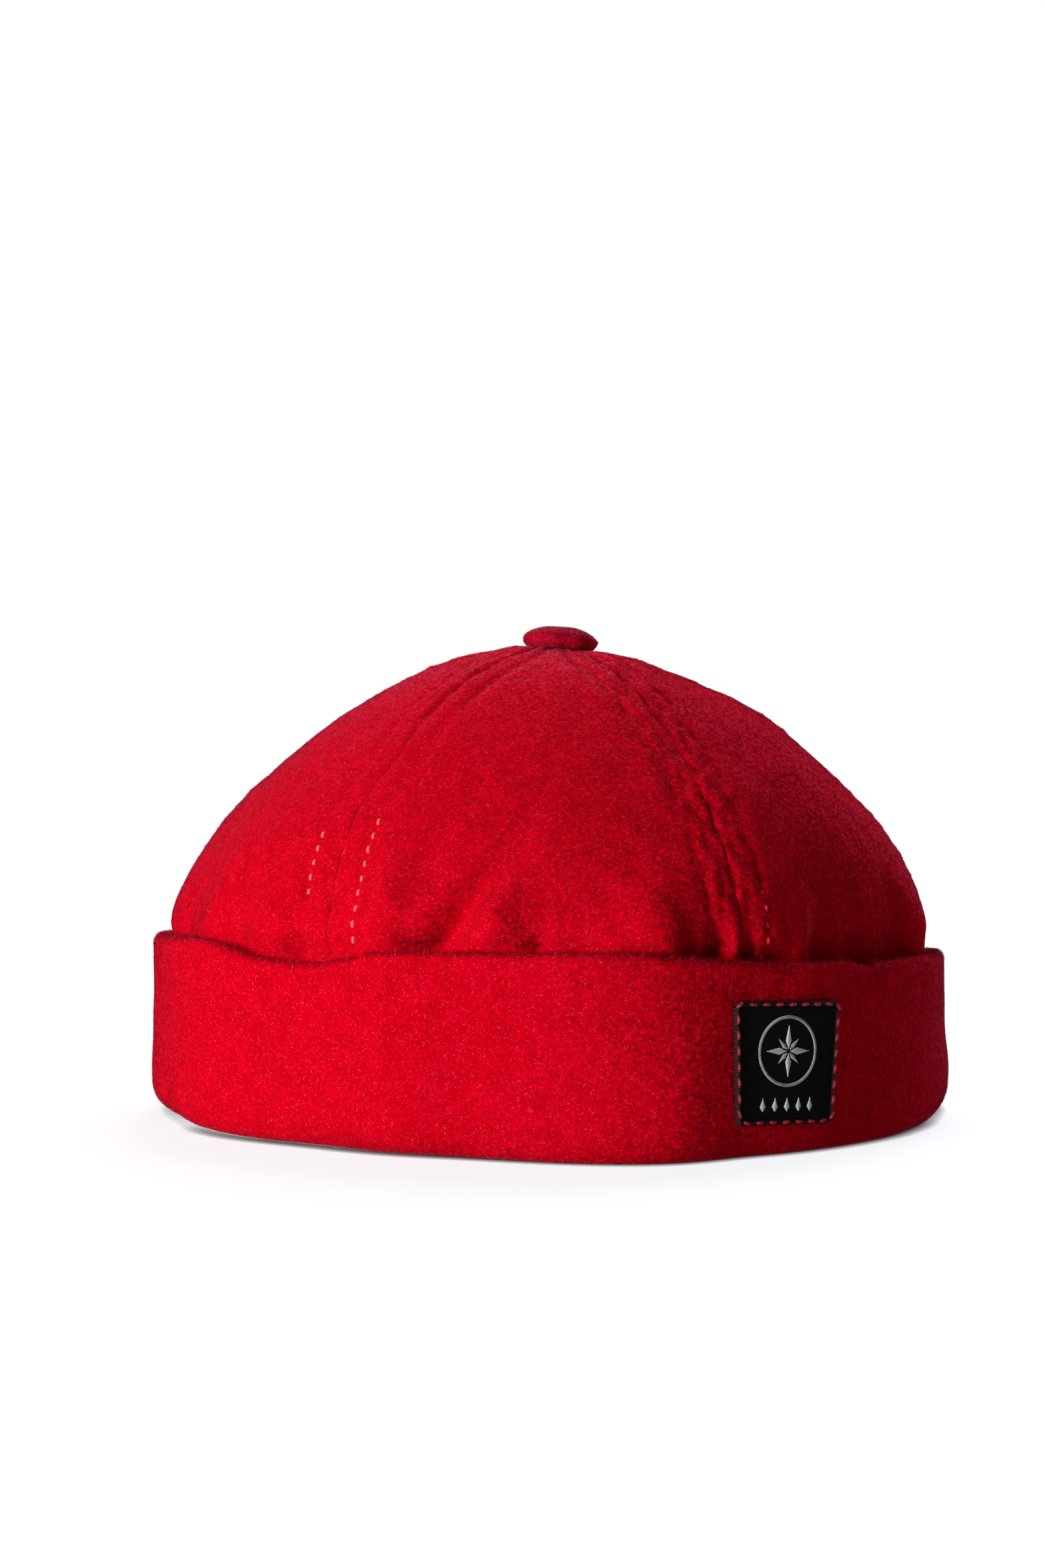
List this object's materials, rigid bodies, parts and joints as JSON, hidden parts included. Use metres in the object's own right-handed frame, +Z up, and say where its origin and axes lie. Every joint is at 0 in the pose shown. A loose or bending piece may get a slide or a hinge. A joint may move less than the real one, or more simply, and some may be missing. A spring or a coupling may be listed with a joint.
{
  "type": "brimless docker cap",
  "caption": "Brimless docker cap of red wool felt with a sewn panelled crown, a turned-up cuff, a cloth-covered top button and a small black sewn-on label",
  "frame": {"origin": "on the surface that the cap rests on, under the middle of its cuff", "axes": "+Z up through the crown; -Y is the front, with the label right of the middle of the front; +X is the wearer's left"},
  "size_m": [0.1974, 0.2017, 0.1194],
  "materials": {
    "felt": "matt, fleecy brushed wool felt",
    "label_weave": "fine woven patch, matt",
    "label_thread": "wound thread edge, slight sheen"
  },
  "bodies": {
    "root": {"crown_panel_1": "felt", "crown_panel_2": "felt", "crown_panel_3": "felt", "crown_panel_4": "felt", "crown_panel_5": "felt", "crown_panel_6": "felt", "cuff": "felt", "top_button": "felt", "label_face": "label_weave", "label_edge": "label_thread"}
  },
  "joints": []
}
